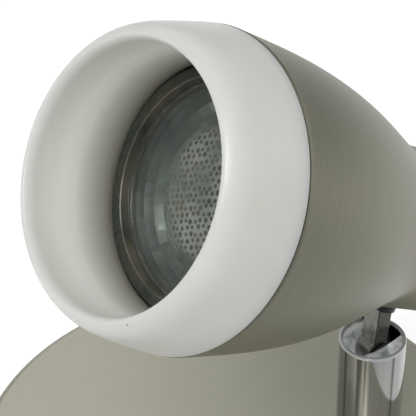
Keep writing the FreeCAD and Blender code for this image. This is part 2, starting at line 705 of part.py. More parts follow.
def lamp_reflector():
    """Bright cup between the lens and the bowl."""
    outer = [point(GLASS_RADIUS - 1.3, 25.2), point(19.2, 32.0), point(15.0, 38.4)]
    inner = [point(GLASS_RADIUS - 1.9, 25.2), point(18.6, 31.8), point(14.2, 37.8)]
    return turned([
        line(inner[0], outer[0]),
        curve(outer),
        line(outer[-1], point(6.8, 38.4)),
        line(point(6.8, 38.4), point(6.8, 37.8)),
        line(point(6.8, 37.8), inner[-1]),
        curve(inner),
    ])


def led_board():
    return rod(12.6, 38.8, 40.2)


def lamp_heat_sink():
    """Finned core between the board and the base."""
    core = rod(8.0, 40.2, BOWL_END)
    for step in range(8):
        fin = block((6.0, 1.0, 10.0), FreeCAD.Vector(8.5, 0, 45.2))
        core = core.fuse(turned_about(fin, 45 * step + 22.5))
    return core.removeSplitter()


def lamp_base():
    """Moulded base with a step that meets the glass and a flat end that carries the pins."""
    return turned_polygon([
        (0, BOWL_END), (13.6, BOWL_END), (13.2, 58.0), (11.6, 59.4),
        (11.0, LAMP_BASE_END - 0.6), (10.4, LAMP_BASE_END), (0, LAMP_BASE_END),
    ])


def lamp_pins():
    """Two headed pins, locked behind the holder's front plate."""
    pins = []
    for side in (-1, 1):
        foot = FreeCAD.Vector(0, side * LAMP_PIN_OFFSET, 0)
        neck = rod(LAMP_PIN_NECK, LAMP_BASE_END, FRONT_PLATE_END + 0.4, at=foot)
        head = rod(LAMP_PIN_HEAD, FRONT_PLATE_END + 0.3, PIN_END, at=foot)
        rims = [edge for edge in head.Edges if edge.BoundBox.ZLength < 0.01]
        pins.append(neck.fuse(head.makeChamfer(0.4, rims)).removeSplitter())
    return group(pins)


# ---------------------------------------------------------------- export

ROW_PLACE = FreeCAD.Placement()
PARTS = {
    "canopy": (canopy, ROW_PLACE),
    "mounting_bracket": (mounting_bracket, ROW_PLACE),
    "bracket_tabs": (bracket_tabs, ROW_PLACE),
    "canopy_screws": (canopy_screws, ROW_PLACE),
    "terminal_block": (terminal_block, ROW_PLACE),
    "terminal_screws": (terminal_screws, ROW_PLACE),
    "earth_screw": (earth_screw, ROW_PLACE),
    "earth_washer": (earth_washer, ROW_PLACE),
    "stop_pin": (stop_pin, ROW_PLACE),
    "swivel_washer": (swivel_washer, POST_PLACE),
    "canopy_leads": (canopy_leads, ROW_PLACE),
    "post_tube": (post_tube, POST_PLACE),
    "post_plug": (post_plug, POST_PLACE),
    "post_nipple": (post_nipple, POST_PLACE),
    "spring_washer": (spring_washer, POST_PLACE),
    "stop_washer": (stop_washer, POST_PLACE),
    "swivel_nut": (swivel_nut, POST_PLACE),
    "pivot_fork": (pivot_fork, POST_PLACE),
    "pivot_pin": (pivot_pin, POST_PLACE),
    "friction_washers": (friction_washers, POST_PLACE),
    "post_leads": (post_leads, POST_PLACE),
    "head_shell": (head_shell, HEAD_PLACE),
    "rear_cap": (rear_cap, HEAD_PLACE),
    "opal_ring": (opal_ring, HEAD_PLACE),
    "ring_clip": (ring_clip, HEAD_PLACE),
    "lead_grommet": (lead_grommet, HEAD_PLACE),
    "head_lead": (head_lead, HEAD_PLACE),
    "neck_washer": (neck_washer, HEAD_PLACE),
    "tilt_tongue": (tilt_tongue, HEAD_PLACE),
    "tongue_screw": (tongue_screw, HEAD_PLACE),
    "holder_bracket": (holder_bracket, HEAD_PLACE),
    "holder_screws": (holder_screws, HEAD_PLACE),
    "lampholder": (lampholder, HEAD_PLACE),
    "holder_contacts": (holder_contacts, HEAD_PLACE),
    "head_wires": (head_wires, HEAD_PLACE),
    "lamp_bowl": (lamp_bowl, HEAD_PLACE),
    "lamp_front_glass": (lamp_front_glass, HEAD_PLACE),
    "lamp_lens": (lamp_lens, HEAD_PLACE),
    "lamp_reflector": (lamp_reflector, HEAD_PLACE),
    "led_board": (led_board, HEAD_PLACE),
    "lamp_heat_sink": (lamp_heat_sink, HEAD_PLACE),
    "lamp_base": (lamp_base, HEAD_PLACE),
    "lamp_pins": (lamp_pins, HEAD_PLACE),
}

os.makedirs("parts", exist_ok=True)
for name, (make, place) in PARTS.items():
    shape = placed(make(), place)
    shape.exportStep(os.path.join("parts", name + ".step"))
    print(name, "solids", len(shape.Solids), "volume", round(shape.Volume, 1),
          "valid", shape.isValid())
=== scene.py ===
import json
import math

import bmesh
import bpy
import numpy as np
from mathutils import Matrix, Vector


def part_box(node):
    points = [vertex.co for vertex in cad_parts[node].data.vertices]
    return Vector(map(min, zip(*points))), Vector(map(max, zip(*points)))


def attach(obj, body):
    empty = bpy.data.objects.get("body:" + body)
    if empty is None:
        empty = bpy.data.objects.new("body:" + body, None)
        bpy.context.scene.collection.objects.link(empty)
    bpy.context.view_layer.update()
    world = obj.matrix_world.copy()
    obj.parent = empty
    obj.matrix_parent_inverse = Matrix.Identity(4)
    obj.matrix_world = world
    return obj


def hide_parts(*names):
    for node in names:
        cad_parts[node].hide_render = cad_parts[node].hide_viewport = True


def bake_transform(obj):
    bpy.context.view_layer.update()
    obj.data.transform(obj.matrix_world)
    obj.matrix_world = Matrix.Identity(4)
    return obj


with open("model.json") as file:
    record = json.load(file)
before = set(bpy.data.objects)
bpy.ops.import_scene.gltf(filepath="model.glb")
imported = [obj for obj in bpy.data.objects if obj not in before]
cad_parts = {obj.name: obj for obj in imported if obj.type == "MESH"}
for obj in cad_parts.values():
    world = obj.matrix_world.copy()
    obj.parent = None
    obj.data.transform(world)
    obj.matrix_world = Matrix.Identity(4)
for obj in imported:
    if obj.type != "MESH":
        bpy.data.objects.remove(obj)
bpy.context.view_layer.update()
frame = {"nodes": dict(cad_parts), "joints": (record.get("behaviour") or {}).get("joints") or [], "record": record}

MM = 0.001
JOINTS = {joint["name"]: joint for joint in frame["joints"]}

# ---------------------------------------------------------------- places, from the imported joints

TWIST_STATION = 60.0       # the twist joint's point lies this far behind the head's opening, mm
PIVOT = Vector(JOINTS["head_tilt"]["pos_m"])
HEAD_AXIS = -Vector(JOINTS["lamp_twist"]["axis"]).normalized()
OPENING = Vector(JOINTS["lamp_twist"]["pos_m"]) - HEAD_AXIS * TWIST_STATION * MM
POST_AXIS = Vector(JOINTS["post_swivel"]["pos_m"])


def axes_place(x_axis, y_axis, z_axis, origin):
    """Matrix of a frame with these axes and this origin."""
    rotation = Matrix((x_axis, y_axis, z_axis)).transposed().to_4x4()
    return Matrix.Translation(origin) @ rotation


SIDEWAYS = Vector((0, 1, 0))
# Head frame: Z along the head's axis to the rear, X from the axis towards the pivot.
HEAD = axes_place(SIDEWAYS.cross(HEAD_AXIS), SIDEWAYS, HEAD_AXIS, OPENING)
POST = Matrix.Translation((POST_AXIS.x, POST_AXIS.y, 0))
WHOLE = Matrix.Identity(4)      # the whole object's own frame

PIVOT_IN_HEAD = HEAD.inverted() @ PIVOT
PIVOT_DROP = PIVOT_IN_HEAD.x / MM
PIVOT_STATION = PIVOT_IN_HEAD.z / MM

# ---------------------------------------------------------------- sizes, mm and degrees
# A station is a distance along the head's axis, from its opening to the rear.

SHEET = 1.2
CANOPY_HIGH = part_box("canopy")[1]
CANOPY_RADIUS = CANOPY_HIGH.y / MM
CANOPY_HEIGHT = CANOPY_HIGH.z / MM
CANOPY_EDGE = 2.5

TUBE_LOW, TUBE_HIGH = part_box("post_tube")
POST_RADIUS = (TUBE_HIGH.y - TUBE_LOW.y) / 2 / MM
POST_START = TUBE_LOW.z / MM
POST_TOP = TUBE_HIGH.z / MM
POST_BORE = 6.7             # its radius

WASHER_END = 19.6           # distance of the washer's flat face from the head's axis
TONGUE_LEAN = 24.3          # the tongue leans forward from square to the head's axis
TONGUE_STATION = 90.8       # where the tongue meets its washer
TONGUE_HALF_WIDTH = 2.3
LEAD_STATION = 89.0
LEAD_TURN = 17.0            # the lead leaves the neck beside the tongue
LEAD_RADIUS = 1.2

SEAM_STATION = 16.4
SEAM_RADIUS = 31.66
NECK_RADIUS = 17.74
NECK_END = 103.0
RING_BORE = 25.3            # its radius
LAMP_STATION = 21.5         # the lamp's rim
LAMP_RADIUS = 25.0
GLASS_RADIUS = 22.2
GLASS_START = 23.4
GLASS_END = 24.8
LENS_RADIUS = 14.0

PAINTED_GLINT_TURN = 165.0          # painted glints: the reflector's facets are made clearest, and so brightest, this way and opposite


# ---------------------------------------------------------------- outlines

def smooth_line(points, steps):
    """Natural cubic through the points, sampled evenly between each two."""
    knots = np.array(points, float)
    count = len(knots)
    spans = np.linalg.norm(np.diff(knots, axis=0), axis=1)
    matrix = np.zeros((count, count))
    right = np.zeros((count, 2))
    matrix[0, 0] = 1
    matrix[-1, -1] = 1
    for i in range(1, count - 1):
        matrix[i, i - 1] = spans[i - 1]
        matrix[i, i] = 2 * (spans[i - 1] + spans[i])
        matrix[i, i + 1] = spans[i]
        slope_after = (knots[i + 1] - knots[i]) / spans[i]
        slope_before = (knots[i] - knots[i - 1]) / spans[i - 1]
        right[i] = 6 * (slope_after - slope_before)
    bend = np.linalg.solve(matrix, right)
    line = []
    for i in range(count - 1):
        span = spans[i]
        for step in range(steps):
            t = span * step / steps
            rest = span - t
            value = (bend[i] * rest ** 3 + bend[i + 1] * t ** 3) / (6 * span)
            value = value + (knots[i] / span - bend[i] * span / 6) * rest
            value = value + (knots[i + 1] / span - bend[i + 1] * span / 6) * t
            line.append(tuple(value))
    line.append(tuple(knots[-1]))
    return line


def rounded(corners, steps=6):
    """Closed outline through (radius, height, rounding) corners, each rounded by an arc."""
    line = []
    count = len(corners)
    for i, (r, z, rounding) in enumerate(corners):
        here = Vector((r, z))
        if rounding <= 0:
            line.append((r, z))
            continue
        before = Vector(corners[i - 1][:2]) - here
        after = Vector(corners[(i + 1) % count][:2]) - here
        half = before.angle(after) / 2
        reach = rounding / math.tan(half)
        start = here + before.normalized() * reach
        end = here + after.normalized() * reach
        inward = (before.normalized() + after.normalized()).normalized()
        centre = here + inward * (rounding / math.sin(half))
        first = start - centre
        last = end - centre
        turn = first.angle_signed(last)
        for step in range(steps + 1):
            spoke = first.copy()
            spoke.rotate(Matrix.Rotation(-turn * step / steps, 2))
            line.append(tuple(centre + spoke))
    return line


# ---------------------------------------------------------------- pieces

def finish_mesh(bm, name, place, sharp_angle=35.0):
    """Makes the mesh an object at its place, smooth but for edges sharper than the angle."""
    bmesh.ops.recalc_face_normals(bm, faces=bm.faces)
    mesh = bpy.data.meshes.new(name)
    bm.to_mesh(mesh)
    bm.free()
    mesh.polygons.foreach_set("use_smooth", [True] * len(mesh.polygons))
    mesh.set_sharp_from_angle(angle=math.radians(sharp_angle))
    piece = bpy.data.objects.new(name, mesh)
    bpy.context.scene.collection.objects.link(piece)
    piece.matrix_world = place
    return piece


def install(piece, body, slot, node, look=None):
    """Gives the piece its body and the material of its look, else of its slot, and lets it stand for its CAD node.
    """
    piece.data.materials.append(MATERIALS[look or slot])
    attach(piece, body)
    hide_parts(node)


def on_circle(radius, turn, height):
    """Point at a radius and height in mm and a turn in radians about the local Z axis."""
    return (radius * math.cos(turn) * MM, radius * math.sin(turn) * MM, height * MM)


def bridge(bm, low, high):
    """Faces between two closed rings of as many points."""
    for i in range(len(low)):
        j = (i + 1) % len(low)
        bm.faces.new((low[i], low[j], high[j], high[i]))


def lathe(name, outline, place, segments=192):
    """Turned piece: a closed outline of (radius, height) in mm, turned about the local Z axis."""
    bm = bmesh.new()
    rings = []
    for radius, height in outline:
        count = segments if radius > 1e-6 else 1
        rings.append([bm.verts.new(on_circle(radius, math.tau * i / segments, height))
                      for i in range(count)])
    for low, high in zip(rings, rings[1:] + rings[:1]):
        for i in range(segments):
            j = (i + 1) % segments
            corners = [low[i % len(low)], low[j % len(low)], high[j % len(high)], high[i % len(high)]]
            corners = list(dict.fromkeys(corners))
            if len(corners) > 2:        # on the axis, a quad becomes a triangle or a line
                bm.faces.new(corners)
    return finish_mesh(bm, name, place)


# ---------------------------------------------------------------- material helpers

MIX_FIRST, MIX_SECOND, MIX_RESULT = 6, 7, 2      # the colour sockets of a Mix node


class Recipe:
    """A node material under construction around one Principled shader."""

    def __init__(self, name, **sockets):
        self.material = bpy.data.materials.new(name)
        self.material.use_nodes = True
        self.tree = self.material.node_tree
        self.shader = self.tree.nodes["Principled BSDF"]
        for socket, value in sockets.items():
            self.shader.inputs[socket.replace("_", " ")].default_value = value
        self.coords = self.add("ShaderNodeTexCoord").outputs["Object"]

    def add(self, kind, **settings):
        node = self.tree.nodes.new(kind)
        for key, value in settings.items():
            setattr(node, key, value)
        return node

    def link(self, output, target):
        self.tree.links.new(output, target)

    def feed(self, socket, value):
        """Sets the socket to a number or a colour, or links an output to it."""
        if isinstance(value, tuple):
            socket.default_value = (*value, 1.0)
        elif isinstance(value, (int, float)):
            socket.default_value = value
        else:
            self.link(value, socket)

    def math(self, operation, first, second):
        node = self.add("ShaderNodeMath", operation=operation)
        self.feed(node.inputs[0], first)
        self.feed(node.inputs[1], second)
        return node.outputs[0]

    def scaled(self, scale, turn=0.0):
        """The local coordinates, scaled and then turned about Z."""
        node = self.add("ShaderNodeMapping")
        node.inputs["Scale"].default_value = scale
        node.inputs["Rotation"].default_value = (0, 0, turn)
        self.link(self.coords, node.inputs["Vector"])
        return node.outputs["Vector"]

    def axes(self, vector=None):
        """X, Y and Z of the vector, or else of the local coordinates."""
        node = self.add("ShaderNodeSeparateXYZ")
        self.link(vector or self.coords, node.inputs[0])
        return node.outputs

    def radius(self):
        """Distance from the local Z axis."""
        node = self.add("ShaderNodeVectorMath", operation="LENGTH")
        self.link(self.scaled((1.0, 1.0, 0.0)), node.inputs[0])
        return node.outputs["Value"]

    def attribute(self, name):
        return self.add("ShaderNodeAttribute", attribute_name=name).outputs["Fac"]

    def noise(self, vector, scale, detail=3.0, roughness=0.55):
        node = self.add("ShaderNodeTexNoise")
        node.inputs["Scale"].default_value = scale
        node.inputs["Detail"].default_value = detail
        node.inputs["Roughness"].default_value = roughness
        self.link(vector, node.inputs["Vector"])
        return node.outputs["Fac"]

    def ramp(self, value, stops):
        """Colour that runs through the (place, colour) stops."""
        node = self.add("ShaderNodeValToRGB")
        elements = node.color_ramp.elements
        while len(elements) < len(stops):
            elements.new(0.5)
        for element, (place, colour) in zip(elements, stops):
            element.position = place
            element.color = (*colour, 1.0)
        self.link(value, node.inputs["Fac"])
        return node.outputs["Color"]

    def span(self, value, low, high, from_low=0.25, from_high=0.75):
        """Runs from low to high while the value runs from from_low to from_high, and stops there."""
        node = self.add("ShaderNodeMapRange")
        node.inputs["From Min"].default_value = from_low
        node.inputs["From Max"].default_value = from_high
        node.inputs["To Min"].default_value = low
        node.inputs["To Max"].default_value = high
        self.link(value, node.inputs["Value"])
        return node.outputs["Result"]

    def blend(self, factor, first, second):
        """The first colour at factor 0 and the second at factor 1."""
        node = self.add("ShaderNodeMix", data_type="RGBA")
        self.feed(node.inputs["Factor"], factor)
        self.feed(node.inputs[MIX_FIRST], first)
        self.feed(node.inputs[MIX_SECOND], second)
        return node.outputs[MIX_RESULT]

    def colour(self, output):
        self.link(output, self.shader.inputs["Base Color"])

    def rough(self, output):
        self.link(output, self.shader.inputs["Roughness"])

    def bump(self, height, distance, strength=1.0):
        node = self.add("ShaderNodeBump")
        node.inputs["Distance"].default_value = distance
        node.inputs["Strength"].default_value = strength
        self.link(height, node.inputs["Height"])
        self.link(node.outputs["Normal"], self.shader.inputs["Normal"])


def shade(colour, factor):
    return tuple(channel * factor for channel in colour)


# ---------------------------------------------------------------- materials

def satin_nickel(make, lines, colour, roughness, contrast):
    """Roughness and bump of brushed nickel, whose lines follow the vector. Returns its colour."""
    fine = make.noise(lines, 1.0, 2.0, 0.6)
    broad = make.noise(make.coords, 55.0, 3.0, 0.5)
    tone = make.math("ADD", make.math("MULTIPLY", fine, 0.7), make.math("MULTIPLY", broad, 0.3))
    make.rough(make.span(tone, roughness - 0.04, roughness + 0.04, 0.3, 0.7))
    make.bump(fine, 0.000012, 0.4)
    return make.ramp(tone, [(0.30, shade(colour, 1 - contrast)), (0.52, colour),
                            (0.74, shade(colour, 1 + contrast))])


def turned_nickel():
    """Head: fine lines round the local Z axis."""
    make = Recipe("turned_nickel_material", Metallic=0.75, Anisotropic=0.55)
    lines_per_metre = 4200.0
    rings = make.add("ShaderNodeCombineXYZ")
    make.link(make.math("MULTIPLY", make.radius(), lines_per_metre), rings.inputs[0])
    make.link(make.math("MULTIPLY", make.axes()[2], lines_per_metre), rings.inputs[1])
    drift = make.add("ShaderNodeVectorMath", operation="MULTIPLY_ADD")
    make.link(make.coords, drift.inputs[0])
    drift.inputs[1].default_value = (60.0, 60.0, 60.0)
    make.link(rings.outputs[0], drift.inputs[2])
    tangent = make.add("ShaderNodeTangent", direction_type="RADIAL", axis="Z")
    make.link(tangent.outputs[0], make.shader.inputs["Tangent"])
    make.colour(satin_nickel(make, drift.outputs[0], (0.240, 0.236, 0.180), 0.40, 0.13))
    return make.material


def plate_nickel():
    """Canopy: straight lines along X, with painted shade on its rounded edge in place of that edge's dark
    reflection.
    """
    make = Recipe("plate_nickel_material", Metallic=0.50, Anisotropic=0.55)
    colour = (0.71, 0.70, 0.585)
    stretch = math.radians(36.9)        # chooses the stretch of noise that makes the lines
    lines = make.scaled((40.0, 3600.0, 3600.0), stretch)
    skin = satin_nickel(make, lines, colour, 0.36, 0.07)
    # painted shade: the rounded top edge is darkened, standing in for the dark reflection it shows
    edge_shade_outward = make.span(make.radius(), 0.0, 0.75,
                        (CANOPY_RADIUS - 2.2) * MM, (CANOPY_RADIUS - 1.0) * MM)
    edge_shade_upward = make.span(make.axes()[2], 0.0, 1.0,
                       (CANOPY_HEIGHT - 3.2) * MM, (CANOPY_HEIGHT - 2.2) * MM)
    make.colour(make.blend(make.math("MULTIPLY", edge_shade_outward, edge_shade_upward), skin, shade(colour, 0.25)))
    return make.material


def cast_metal(name, dark, light, roughness, metallic, glow=0.0, painted_shade_side=False):
    """Plated casting, cloudy where the plating is uneven; it can take painted shade on its -Y side and a painted
    glow.
    """
    # glow gives a painted glow: the casting emits its own colour, though it is no lamp
    make = Recipe(name, Metallic=metallic, Emission_Strength=glow)
    cloud = make.noise(make.coords, 320.0, 3.0, 0.6)
    grain = make.noise(make.coords, 2400.0, 2.0)
    skin = make.ramp(cloud, [(0.38, dark), (0.56, light)])
    if painted_shade_side:
        # painted shade: the -Y face is darkened as if turned away from the light
        side = make.math("LESS_THAN", make.axes()[1], (0.2 - TONGUE_HALF_WIDTH) * MM)
        skin = make.blend(side, skin, shade(dark, 0.35))
    make.colour(skin)
    make.link(skin, make.shader.inputs["Emission Color"])
    make.rough(make.span(cloud, roughness + 0.06, roughness - 0.04))
    make.bump(grain, 0.00001, 0.3)
    return make.material


def drawn_chrome():
    """Plated tube with fine scratches: dark and light streaks run along it as painted reflections, and its rounded
    rim is painted paler, a painted highlight.
    """
    make = Recipe("post_chrome_material")
    colour = (0.44, 0.44, 0.43)
    roughness = 0.05
    # painted reflections: dark and light bands along the tube stand in for what it mirrors
    painted_reflection_streak = make.noise(make.scaled((330.0, 330.0, 3.0), math.radians(45.0)), 1.0, 3.0, 0.55)
    scratch = make.noise(make.scaled((900.0, 900.0, 9000.0)), 1.0, 2.0)
    body = make.ramp(painted_reflection_streak, [(0.37, shade(colour, 0.20)), (0.44, shade(colour, 0.86)),
                              (0.58, colour), (0.66, shade(colour, 1.15))])
    # painted highlight: the rim's top is painted pale and made less metallic, standing in for the bright light it
    # reflects
    rim = make.span(make.axes()[2], 0.0, 1.0, (POST_TOP - 0.75) * MM, (POST_TOP - 0.45) * MM)
    make.colour(make.blend(rim, body, (0.78, 0.81, 0.82)))
    make.link(make.span(rim, 1.0, 0.25, 0.0, 1.0), make.shader.inputs["Metallic"])
    make.rough(make.span(scratch, roughness, roughness + 0.05))
    make.bump(scratch, 0.000002, 0.3)
    return make.material


def opal():
    """Milky moulded ring with a few dust specks on it; in its bore a painted glow stands in for light let in by
    the opal wall, and towards the lamp the bore has painted shade.
    """
    make = Recipe("opal_material", Subsurface_Weight=0.7, Subsurface_Scale=0.005,
                  Subsurface_Radius=(1.0, 0.95, 0.85), Coat_Weight=0.05, Coat_Roughness=0.3,
                  Emission_Color=(1.0, 1.0, 0.92, 1.0))
    painted_glow_station = 9.0 * MM
    painted_shade_station = 12.0 * MM
    lamp_face = LAMP_STATION * MM
    cloud = make.noise(make.coords, 70.0, 2.0, 0.5)
    skin = make.ramp(cloud, [(0.3, (0.86, 0.862, 0.82)), (0.7, (0.90, 0.902, 0.865))])
    speck = make.add("ShaderNodeTexVoronoi")
    speck.inputs["Scale"].default_value = 150.0
    make.link(make.coords, speck.inputs["Vector"])
    near = make.math("LESS_THAN", speck.outputs["Distance"], 0.035)
    some = make.math("GREATER_THAN", make.noise(make.coords, 260.0, 1.0), 0.56)
    specks = make.blend(make.math("MULTIPLY", near, some), skin, (0.45, 0.42, 0.37))
    station = make.axes()[2]
    inside = make.math("LESS_THAN", make.radius(), (RING_BORE + 0.6) * MM)
    # painted shade: the bore is darkened towards the lamp, where the shell shades it
    shaded = make.span(station, 0.0, 0.9, painted_shade_station, lamp_face)
    make.colour(make.blend(make.math("MULTIPLY", shaded, inside), specks, (0.30, 0.285, 0.225)))
    # painted glow: the bore emits light, strongest some way in from the opening
    front = make.span(station, 0.0, 0.14, 0.0, painted_glow_station)
    rear = make.span(station, 1.0, 0.0, painted_glow_station, lamp_face)
    through = make.math("MULTIPLY", front, rear)
    make.link(make.math("MULTIPLY", through, inside), make.shader.inputs["Emission Strength"])
    make.rough(make.span(make.noise(make.coords, 400.0, 4.0), 0.29, 0.36))
    make.bump(make.noise(make.coords, 90.0, 2.0), 0.00004, 0.15)
    return make.material


def moulded(name, colour, roughness, grain=1500.0, depth=0.00003):
    """Moulded plastic, rubber or ceramic: fine grain, slight colour drift."""
    make = Recipe(name)
    drift = make.noise(make.coords, 120.0, 3.0)
    fine = make.noise(make.coords, grain, 4.0, 0.6)
    make.colour(make.ramp(drift, [(0.3, shade(colour, 0.82)), (0.7, shade(colour, 1.12))]))
    make.rough(make.span(fine, roughness - 0.08, roughness + 0.1))
    make.bump(fine, depth, 0.6)
    return make.material


def plated(name, colour, roughness):
    """Plain plated metal: rolled grain with darker, rougher patches."""
    make = Recipe(name, Metallic=1.0)
    patches = make.noise(make.coords, 160.0, 4.0, 0.6)
    grain = make.noise(make.scaled((300.0, 2200.0, 900.0)), 1.0, 3.0)
    tone = make.math("ADD", make.math("MULTIPLY", patches, 0.6), make.math("MULTIPLY", grain, 0.4))
    make.colour(make.ramp(tone, [(0.3, shade(colour, 0.8)), (0.7, shade(colour, 1.12))]))
    make.rough(make.span(tone, roughness + 0.08, roughness - 0.05))
    make.bump(grain, 0.00001, 0.4)
    return make.material


def clear_glass():
    """Clear front glass with a faint green tint and a light haze."""
    make = Recipe("clear_glass_material", IOR=1.47, Transmission_Weight=0.98)
    haze = make.noise(make.coords, 220.0, 3.0)
    make.colour(make.ramp(haze, [(0.3, (0.80, 0.86, 0.83)), (0.7, (0.90, 0.94, 0.92))]))
    make.rough(make.span(haze, 0.0, 0.05, 0.45, 0.85))
    return make.material


def rim_glass():
    """Dark, slightly green pressed glass with a pitted surface, paler in the front glass's recess."""
    make = Recipe("rim_glass_material", Coat_Weight=0.4, Coat_Roughness=0.15)
    pits = make.noise(make.coords, 1700.0, 4.0, 0.7)
    drift = make.noise(make.coords, 110.0, 3.0)
    dark = make.ramp(drift, [(0.35, (0.008, 0.018, 0.015)), (0.68, (0.045, 0.043, 0.030))])
    speckled = make.blend(make.span(pits, 0.0, 0.6, 0.48, 0.72), dark, (0.12, 0.12, 0.095))
    wall = make.math("LESS_THAN", make.radius(), (GLASS_RADIUS + 0.3) * MM)
    recess = make.ramp(drift, [(0.35, (0.045, 0.050, 0.040)), (0.65, (0.15, 0.14, 0.105))])
    make.colour(make.blend(wall, speckled, recess))
    make.rough(make.span(pits, 0.30, 0.55))
    make.bump(pits, 0.00008, 0.8)
    return make.material


def reflector():
    """Metallised facets, bright where they are clear and grey-green where they are cloudy; which facets are clear
    varies at random, and they gather at one turn and its opposite as painted glints.
    """
    make = Recipe("reflector_material", Metallic=0.75)
    patches = make.span(make.noise(make.coords, 60.0, 1.0, 0.5), 0.15, 1.0, 0.42, 0.56)
    facets = make.math("MULTIPLY", patches, make.attribute("clear"))
    haze = make.noise(make.coords, 150.0, 4.0, 0.6)
    cloudy = make.ramp(haze, [(0.32, (0.055, 0.075, 0.070)), (0.52, (0.12, 0.145, 0.135)),
                              (0.72, (0.20, 0.22, 0.205))])
    clear = make.ramp(haze, [(0.3, (0.45, 0.48, 0.44)), (0.7, (0.95, 0.94, 0.86))])
    make.colour(make.blend(facets, cloudy, clear))
    make.rough(make.span(facets, 0.56, 0.42, 0.0, 1.0))
    make.bump(haze, 0.00004, 0.3)
    return make.material


def lens():
    """Dimpled optical plastic: the dimples get painted shade, some with a warm painted reflection of the LED
    behind the lens.
    """
    make = Recipe("lens_material", IOR=1.5, Coat_Weight=0.6, Coat_Roughness=0.05)
    warm = make.noise(make.coords, 260.0, 2.0)
    patch = make.noise(make.coords, 95.0, 2.0, 0.5)
    # painted shade in the dimples, warmed here and there by a painted reflection of the LED
    painted_dimple_shade = make.ramp(warm, [(0.42, (0.006, 0.008, 0.008)), (0.66, (0.15, 0.07, 0.035))])
    flat = make.ramp(patch, [(0.3, (0.15, 0.165, 0.15)), (0.7, (0.58, 0.58, 0.53))])
    holes = make.span(make.attribute("dimple"), 0.0, 1.0, 0.10, 0.55)
    seen = make.span(patch, 0.45, 1.0, 0.36, 0.52)
    border = make.span(make.radius(), 0.0, 1.0, (LENS_RADIUS - 2.2) * MM, (LENS_RADIUS - 0.4) * MM)
    dotted = make.blend(make.math("MULTIPLY", holes, seen), flat, painted_dimple_shade)
    make.colour(make.blend(border, dotted, (0.085, 0.105, 0.097)))
    make.rough(make.span(warm, 0.12, 0.25))
    return make.material


MATERIALS = {
    "brushed_nickel": turned_nickel(),
    "plate_nickel": plate_nickel(),
    "nickel_screw": plated("nickel_screw_material", (0.60, 0.59, 0.56), 0.30),
    "zinc_steel": plated("zinc_steel_material", (0.60, 0.61, 0.62), 0.34),
    "chrome": drawn_chrome(),
    # the tongue's -Y face gets painted shade
    "tongue_chrome": cast_metal("tongue_metal_material", (0.22, 0.215, 0.19), (0.46, 0.46, 0.44),
                                0.26, 0.4, painted_shade_side=True),
    # the fork's cheeks get a painted glow that lights them where they sit in shade
    "fork_chrome": cast_metal("fork_metal_material", (0.45, 0.49, 0.51), (0.95, 0.98, 1.0),
                              0.16, 0.5, glow=0.16),
    "brass": plated("brass_material", (0.72, 0.56, 0.28), 0.30),
    "opal": opal(),
    "black_plastic": moulded("black_plastic_material", (0.012, 0.012, 0.012), 0.42),
    "rubber": moulded("rubber_material", (0.018, 0.018, 0.018), 0.75),
    "black_sleeve": moulded("black_sleeve_material", (0.014, 0.014, 0.014), 0.55, 2500.0),
    "wire_sleeve": moulded("wire_sleeve_material", (0.45, 0.40, 0.33), 0.55, 2500.0),
    "white_plastic": moulded("white_plastic_material", (0.74, 0.73, 0.69), 0.45),
    "ceramic": moulded("ceramic_material", (0.76, 0.745, 0.70), 0.62, 900.0, 0.00005),
    "lamp_glass": rim_glass(),
    "clear_glass": clear_glass(),
    "lens": lens(),
    "reflector": reflector(),
    "board": plated("board_material", (0.66, 0.67, 0.68), 0.36),
    "pin_metal": plated("pin_metal_material", (0.66, 0.65, 0.62), 0.25),
}

# ---------------------------------------------------------------- CAD nodes that stay

NODE_SLOTS = {part["node"]: part["material_slot"] for part in frame["record"]["subparts"]}
for node_name, node_object in frame["nodes"].items():
    node_object.data.materials.clear()
    node_object.data.materials.append(MATERIALS[NODE_SLOTS[node_name]])

# ---------------------------------------------------------------- canopy

def make_canopy():
    """Shallow spun cup with a rounded edge."""
    inner_radius = CANOPY_RADIUS - SHEET
    inner_height = CANOPY_HEIGHT - SHEET
    foot = 0.35
    outline = rounded([
        (0, CANOPY_HEIGHT, 0),
        (CANOPY_RADIUS, CANOPY_HEIGHT, CANOPY_EDGE),
        (CANOPY_RADIUS, 0, foot),
        (inner_radius, 0, foot),
        (inner_radius, inner_height, CANOPY_EDGE - SHEET),
        (0, inner_height, 0),
    ], 10)
    plate = lathe("canopy_plate", outline, WHOLE, 256)
    install(plate, "base", "brushed_nickel", "canopy", "plate_nickel")


# ---------------------------------------------------------------- post

def make_post():
    """Drawn tube whose mouth has a rounded rim."""
    rim = (POST_RADIUS - POST_BORE) * 0.45
    outline = rounded([
        (POST_BORE, POST_START, 0.1),
        (POST_RADIUS, POST_START, 0.25),
        (POST_RADIUS, POST_TOP, rim),
        (POST_BORE, POST_TOP, rim),
    ], 10)
    post = lathe("post_shell", outline, POST, 192)
    install(post, "post", "chrome", "post_tube")


# ---------------------------------------------------------------- head

def bell_line(inset):
    """The bell from the seam to the neck, mm, as (radius, station)."""
    bell = [(SEAM_RADIUS, SEAM_STATION), (30.9, 25.0), (29.7, 35.0), (27.8, 45.0), (25.0, 55.0),
            (21.35, 65.0), (18.75, 72.0), (NECK_RADIUS + 0.06, 75.4), (NECK_RADIUS, 79.0)]
    return [(radius - inset, station) for radius, station in smooth_line(bell, 10)]


